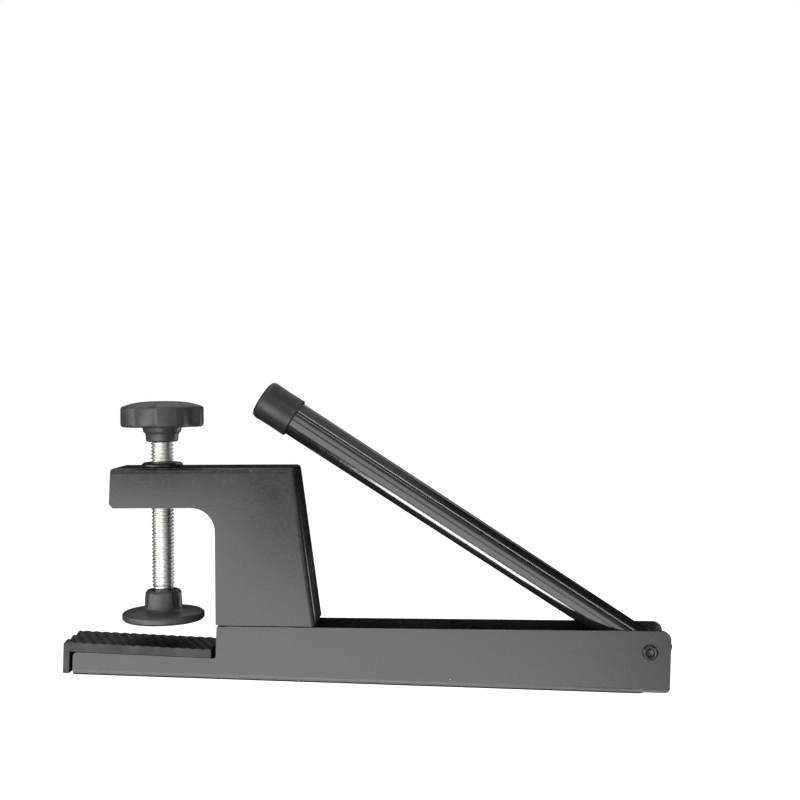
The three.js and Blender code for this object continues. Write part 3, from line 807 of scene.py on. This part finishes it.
def hand_knob():
    around = LOBES * 40
    bm = bmesh.new()
    rings = []
    for height, share, inset, plain in knob_rings():
        ring = []
        for k in range(around):
            angle = 2 * math.pi * k / around
            outline = max(lobe_outline(angle) - inset, 0.0)
            r = outline * share + plain * (1 - share) if plain else outline * share
            at = angle + LOBE_TURN - math.pi / 2
            ring.append(bm.verts.new((r * MM * math.cos(at), r * MM * math.sin(at), height * MM)))
        rings.append(ring)
    for low, high in zip(rings, rings[1:]):
        for k in range(around):
            n = (k + 1) % around
            bm.faces.new((low[k], low[n], high[n], high[k]))
    bmesh.ops.remove_doubles(bm, verts=bm.verts, dist=1e-7)
    bmesh.ops.recalc_face_normals(bm, faces=bm.faces)
    return smooth(object_of("lobed_hand_knob", bm, ON_SCREW), 40.0)


knob = hand_knob()
wear(knob, knob_plastic)
hand_over(knob, "screw", "knob_plastic", "hand_knob")

# %% [markdown]
# ## The jaw pad
#
# The rubber jaw is moulded with slanting ribs that grip the playing surface without marking it.
# Its top is a fine grid, and a Geometry Nodes tree raises that grid into ribs: a point's height
# depends only on how far along the beam it lies once the slant is taken out. Real bars set out in
# a row would leave steps where they meet the sides, and the wave doesn't.


# %% Rib tree and pad
def rib_tree():
    tree = bpy.data.node_groups.new("slanting_ribs", "GeometryNodeTree")
    face = tree.interface
    face.new_socket("Geometry", in_out="INPUT", socket_type="NodeSocketGeometry")
    face.new_socket("Geometry", in_out="OUTPUT", socket_type="NodeSocketGeometry")
    for name in ("Pitch", "Depth", "Slant", "Start"):
        face.new_socket(name, in_out="INPUT", socket_type="NodeSocketFloat")
    face.new_socket("Material", in_out="INPUT", socket_type="NodeSocketMaterial")
    given = add(tree, "NodeGroupInput").outputs

    place = add(tree, "ShaderNodeSeparateXYZ", None,
                Vector=add(tree, "GeometryNodeInputPosition").outputs[0]).outputs
    slanted = add(tree, "ShaderNodeMath", {"operation": "MULTIPLY_ADD"}, _0=place["Y"],
                  _1=given["Slant"], _2=place["X"])
    from_start = add(tree, "ShaderNodeMath", {"operation": "SUBTRACT"}, _0=slanted.outputs[0],
                     _1=given["Start"])
    phase = add(tree, "ShaderNodeMath", {"operation": "DIVIDE"}, _0=from_start.outputs[0],
                _1=given["Pitch"])
    turn = add(tree, "ShaderNodeMath", {"operation": "MULTIPLY"}, _0=phase.outputs[0],
               _1=2 * math.pi)
    wave = add(tree, "ShaderNodeMath", {"operation": "COSINE"}, _0=turn.outputs[0])
    lifted = add(tree, "ShaderNodeMath", {"operation": "MULTIPLY_ADD"}, _0=wave.outputs[0],
                 _1=0.5, _2=0.5)
    # a power under one makes the ribs wider than the grooves between them
    ridge = add(tree, "ShaderNodeMath", {"operation": "POWER"}, _0=lifted.outputs[0], _1=0.55)
    below = add(tree, "ShaderNodeMath", {"operation": "SUBTRACT"}, _0=ridge.outputs[0], _1=1.0)
    drop = add(tree, "ShaderNodeMath", {"operation": "MULTIPLY"}, _0=below.outputs[0],
               _1=given["Depth"])
    on_top = add(tree, "GeometryNodeInputNamedAttribute", {"data_type": "FLOAT"}, Name="on_top")
    kept = add(tree, "ShaderNodeMath", {"operation": "MULTIPLY"}, _0=drop.outputs[0],
               _1=on_top.outputs[0])
    shift = add(tree, "ShaderNodeCombineXYZ", None, Z=kept.outputs[0])
    raised = add(tree, "GeometryNodeSetPosition", None, Geometry=given["Geometry"],
                 Offset=shift.outputs[0])
    real = add(tree, "GeometryNodeRealizeInstances", None, Geometry=raised.outputs[0])
    done = add(tree, "GeometryNodeSetMaterial", None, Geometry=real.outputs[0],
               Material=given["Material"])
    add(tree, "NodeGroupOutput", None, Geometry=done.outputs[0])
    return tree


PAD_LOW, PAD_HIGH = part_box("jaw_pad")
CREST_TIP, CREST_ROOT = 11.5 * MM, 10.6 * MM
JAW_TOP_TIP, JAW_TOP_ROOT = 8.3 * MM, 7.7 * MM


def pad_blank():
    """The pad before its ribs: a closed block with a lip and a fine top grid."""
    half = PAD_HIGH.y
    lip_back = PAD_LOW.x + 2.1 * MM
    columns = 300
    across = 48
    bm = bmesh.new()
    on_top = bm.verts.layers.float.new("on_top")

    def crest(x):
        return CREST_TIP + (CREST_ROOT - CREST_TIP) * (x - PAD_LOW.x) / (PAD_HIGH.x - PAD_LOW.x)

    def under(x):
        if x < lip_back:
            return PAD_LOW.z
        return JAW_TOP_TIP + (JAW_TOP_ROOT - JAW_TOP_TIP) * (x - lip_back) / (PAD_HIGH.x - lip_back)

    stations = [PAD_LOW.x + (PAD_HIGH.x - PAD_LOW.x) * k / columns for k in range(columns + 1)]
    split = min(range(len(stations)), key=lambda k: abs(stations[k] - lip_back))
    stations[split] = lip_back
    grid = []
    for x in stations:
        row = []
        for j in range(across + 1):
            y = -half + 2 * half * j / across
            v = bm.verts.new((x, y, crest(x)))
            v[on_top] = (0.35, 0.7, 1.0)[min(j, across - j, 2)]
            row.append(v)
        grid.append(row)
    for a, b in zip(grid, grid[1:]):
        for j in range(across):
            bm.faces.new((a[j], b[j], b[j + 1], a[j + 1]))
    floor_rows = []
    for k, x in enumerate(stations):
        floor_rows.append([bm.verts.new((x, s * half, under(x))) for s in (-1, 1)])
        if k == split:
            floor_rows[-1] = [bm.verts.new((x, s * half, PAD_LOW.z)) for s in (-1, 1)]
            lip_inner = [bm.verts.new((x, s * half, under(x + 1e-6))) for s in (-1, 1)]
    for k in range(len(stations) - 1):
        near, far = floor_rows[k], floor_rows[k + 1]
        if k == split:
            near = lip_inner
        for s, j in ((0, 0), (1, across)):
            corners = (near[s], far[s], grid[k + 1][j], grid[k][j])
            bm.faces.new(corners if s == 0 else corners[::-1])
        bm.faces.new((near[0], near[1], far[1], far[0]))
    back = floor_rows[split]
    bm.faces.new((back[0], back[1], lip_inner[1], lip_inner[0]))
    for k, flip in ((0, False), (len(stations) - 1, True)):
        ring = [floor_rows[k][0], *grid[k], floor_rows[k][1]]
        bm.faces.new(ring[::-1] if flip else ring)
    # the wall's strip just before the lip's back shares the lip's inner corner
    for s, j in ((0, 0), (1, across)):
        bm.faces.new((back[s], lip_inner[s], grid[split][j]))
    bmesh.ops.remove_doubles(bm, verts=bm.verts, dist=1e-8)
    bmesh.ops.recalc_face_normals(bm, faces=bm.faces)
    return bm


def jaw_pad():
    ribbed = run_tree(object_of("ribbed_jaw_pad", pad_blank()), rib_tree(), {
        "Pitch": 3.35 * MM, "Depth": 0.75 * MM, "Slant": math.tan(math.radians(26)),
        "Start": 0.0, "Material": jaw_rubber,
    })
    return smooth(ribbed, 50.0)


pad = jaw_pad()
wear(pad, jaw_rubber)
hand_over(pad, "frame", "jaw_rubber", "jaw_pad")

# %% [markdown]
# ## The post and its cap
#
# The post is a welded tube with a glossy stoved finish, open at its pivot end. The cap is a soft
# moulding that is pushed over the tube, so it stands proud by its own wall and has a small bead
# at its mouth. Both are turned shapes, laid along the folded post.

# %% Post and cap
POST_R, POST_BORE, POST_TAIL = 6.0, 5.0, 7.0
POST_REACH = 156.5
CAP_LONG = 13.3

tube = turned("net_post_tube", [
    (POST_BORE, -POST_TAIL, 0.2), (POST_R, -POST_TAIL, 0.3), (POST_R, POST_REACH - 2.1, 0.3),
    (POST_BORE, POST_REACH - 2.1, 0.2),
], ON_POST, steps=128, closed=True)
wear(tube, gloss_enamel)
hand_over(tube, "post", "gloss_paint", "post_tube")

cap_foot = POST_REACH - CAP_LONG
cap = turned("net_post_cap", [
    (0, POST_REACH - 1.8, 0), (6.3, POST_REACH - 1.8, 0.3), (6.3, cap_foot, 0.15),
    (6.65, cap_foot, 0.15), (6.88, cap_foot + 0.4, 0.2), (6.82, cap_foot + 1.5, 0.3),
    (6.75, cap_foot + 6.0, 0), (6.9, POST_REACH - 1.7, 0.5), (6.4, POST_REACH - 0.5, 0.5),
    (5.3, POST_REACH, 0.6), (0, POST_REACH, 0),
], ON_POST, steps=128)
wear(cap, cap_plastic)
hand_over(cap, "post", "cap_plastic", "post_cap")

# %% [markdown]
# ## The pivot
#
# A semi-tubular rivet passes through both walls and the tube. Its ends are rolled over, which
# leaves a small round well in each head. Two nylon washers take up the space beside the tube.


# %% Rivet and washers
def rivet_profile():
    """Both rolled heads and the shank between them, from one end's well to the other's."""
    rows = []
    for s in (-1, 1):
        side = [(0, s * 9.3, 0), (1.15, s * 9.35, 0.2), (1.5, s * 10.1, 0.25),
                (2.1, s * 10.15, 0.3), (2.6, s * 9.6, 0.3), (2.6, s * 9.3, 0), (2.0, s * 9.3, 0)]
        rows += side if s < 0 else side[::-1]
    return rows


rivet = turned("pivot_rivet_rolled", rivet_profile(), ON_RIVET, steps=64)
wear(rivet, enamel)
hand_over(rivet, "frame", "black_paint", "pivot_rivet")

for side, where in ((-1, "front"), (1, "rear")):
    near, far = sorted((side * 6.3, side * 7.2))
    washer = turned(f"nylon_washer_{where}", [
        (2.3, near, 0.15), (5.0, near, 0.2), (5.0, far, 0.2), (2.3, far, 0.15),
    ], ON_RIVET, steps=64, closed=True)
    wear(washer, nylon)
    hand_over(washer, "frame", "washer_nylon", f"pivot_washer_{where}")

# %% [markdown]
# ## Floor, backdrop and light
#
# A plain pale floor lies well below the clamp, because the post swings down past the beam. A wide
# key box in front puts the even grey sheen on the enamel. Boxes above, behind and at the sides fill
# the rest, and the rear key is there for views from behind. Five lights are restricted to one piece
# each: the box under the bracket, the fill under the beam, and three strips beside the tube.


# %% Floor and backdrop
FLOOR_Z = -0.165
FLOOR_WIDE, FLOOR_DEEP, FLOOR_BACK = 16.0, 8.4, 3.75


def make_floor():
    bm = bmesh.new()
    bmesh.ops.create_grid(bm, x_segments=1, y_segments=1, size=0.5)
    floor = object_of("pale_floor", bm)
    floor.data.transform(Matrix.Diagonal((FLOOR_WIDE, FLOOR_DEEP, 1.0, 1.0)))
    floor.data.transform(Matrix.Translation((0, FLOOR_BACK, FLOOR_Z)))
    material, tree, shader = new_finish("pale_paper")
    shader.inputs["Base Color"].default_value = linear("#d8d8d8")
    shader.inputs["Roughness"].default_value = 0.9
    shader.inputs["Specular IOR Level"].default_value = 0.1
    shader.inputs["Emission Color"].default_value = (1, 1, 1, 1)
    shader.inputs["Emission Strength"].default_value = 1.0
    floor.data.materials.append(material)
    floor.visible_glossy = False
    floor.visible_diffuse = False
    floor.visible_shadow = False
    return floor


def make_world():
    world = bpy.data.worlds.new("studio")
    world.use_nodes = True
    background = world.node_tree.nodes["Background"]
    background.inputs["Color"].default_value = (1, 1, 1, 1)
    background.inputs["Strength"].default_value = 1.0
    world.cycles_visibility.glossy = False
    world.cycles_visibility.diffuse = False
    bpy.context.scene.world = world


make_floor()
make_world()
print("floor is", round(-FLOOR_Z / MM), "mm below the beam")


# %% Lights
def soft_box(name, spot, target, width, height, radiance, tilt_degrees=0.0):
    """A rectangular light. Its power is worked out from the brightness its surface should have."""
    data = bpy.data.lights.new(name, "AREA")
    data.shape = "RECTANGLE"
    data.size = width
    data.size_y = height
    data.energy = radiance * math.pi * width * height
    made = bpy.data.objects.new(name, data)
    towards = (Vector(target) - Vector(spot)).normalized()
    made.location = spot
    made.rotation_mode = "QUATERNION"
    roll = Matrix.Rotation(math.radians(tilt_degrees), 3, "Z").to_quaternion()
    made.rotation_quaternion = towards.to_track_quat("-Z", "Y") @ roll
    made.visible_camera = False
    bpy.context.scene.collection.objects.link(made)
    return made


def shine_only_on(light, *pieces):
    """Lets a light shine on these pieces only."""
    lit = bpy.data.collections.new(light.name + "_lights")
    for piece in pieces:
        lit.objects.link(piece)
    light.light_linking.receiver_collection = lit


# the key box stands low in front; its upper edge falls to the right, and it ends short on the
# right, so round pieces turn dark on that side
KEY_TILT = math.radians(16.0)
KEY_WIDE, KEY_HIGH = 2.0, 1.15
edge_middle = Vector((-0.185, -1.2, -0.03))
along_the_edge = Vector((math.cos(KEY_TILT), 0, -math.sin(KEY_TILT)))
down_the_box = Vector((-math.sin(KEY_TILT), 0, -math.cos(KEY_TILT)))
key_spot = edge_middle - along_the_edge * 0.37 + down_the_box * KEY_HIGH / 2
soft_box("key_box", key_spot, key_spot + Vector((0, 1, 0)), KEY_WIDE, KEY_HIGH, 4.0,
         -math.degrees(KEY_TILT))
soft_box("front_fill", (0.0, -1.6, 0.55), (0.05, 0, 0.05), 2.8, 1.2, 0.55)
soft_box("top_box", (0.0, 0.0, 1.6), (0.05, 0, 0.03), 2.0, 2.0, 0.9)
soft_box("back_box", (0.1, 1.6, 1.3), (0.05, 0, 0.03), 2.0, 0.8, 1.0)
soft_box("left_box", (-1.3, -0.5, 0.25), (0.0, 0, 0.05), 1.0, 1.0, 3.0)
soft_box("right_box", (1.45, 0.1, 0.62), (0.05, 0, 0.03), 1.0, 0.5, 1.5)
soft_box("rear_key", (1.0, 1.0, -0.32), (0.05, 0, 0.03), 0.75, 0.8, 2.6)
soft_box("right_fill", (0.95, -1.15, 0.0), (-0.02, 0, 0.05), 0.9, 1.0, 0.7)
under_box = soft_box("under_box", (-0.1, -0.28, -0.8), (-0.01, 0, 0.04), 0.9, 0.5, 9.0)
shine_only_on(under_box, bracket)
low_fill = soft_box("low_fill", (0.0, -0.5, -0.9), (0.05, 0, 0.0), 2.4, 1.0, 3.2)
shine_only_on(low_fill, beam)
soft_box("bend_line", (-0.15, -0.95, 0.95), (-0.02, 0, 0.07), 1.5, 0.09, 7.0)


def beside_tube(name, rise_degrees, along_mm, distance, length, width, radiance):
    """A strip parallel to the folded tube, rise_degrees above level as the tube sees it."""
    a = math.radians(rise_degrees)
    across = Vector((math.sin(POST_RISE), 0, math.cos(POST_RISE)))
    facing = Vector((0, -math.cos(a), 0)) + across * math.sin(a)
    middle = pivot + post_along * along_mm * MM
    made = soft_box(name, middle + facing * distance, middle, width, length, radiance)
    turn = Matrix((post_along.cross(facing), post_along, facing)).transposed()
    made.rotation_quaternion = turn.to_quaternion()
    shine_only_on(made, tube)


beside_tube("tube_streak", -67.0, 34.0, 0.55, 0.19, 0.2, 25.0)
beside_tube("tube_line", 62.0, 60.0, 1.1, 0.4, 0.08, 13.0)
beside_tube("tube_band", 11.0, -60.0, 1.25, 0.9, 0.55, 3.0)

scene = bpy.context.scene
scene.view_settings.view_transform = "Standard"
scene.view_settings.look = "None"
scene.view_settings.exposure = 0.0
scene.view_settings.gamma = 1.0
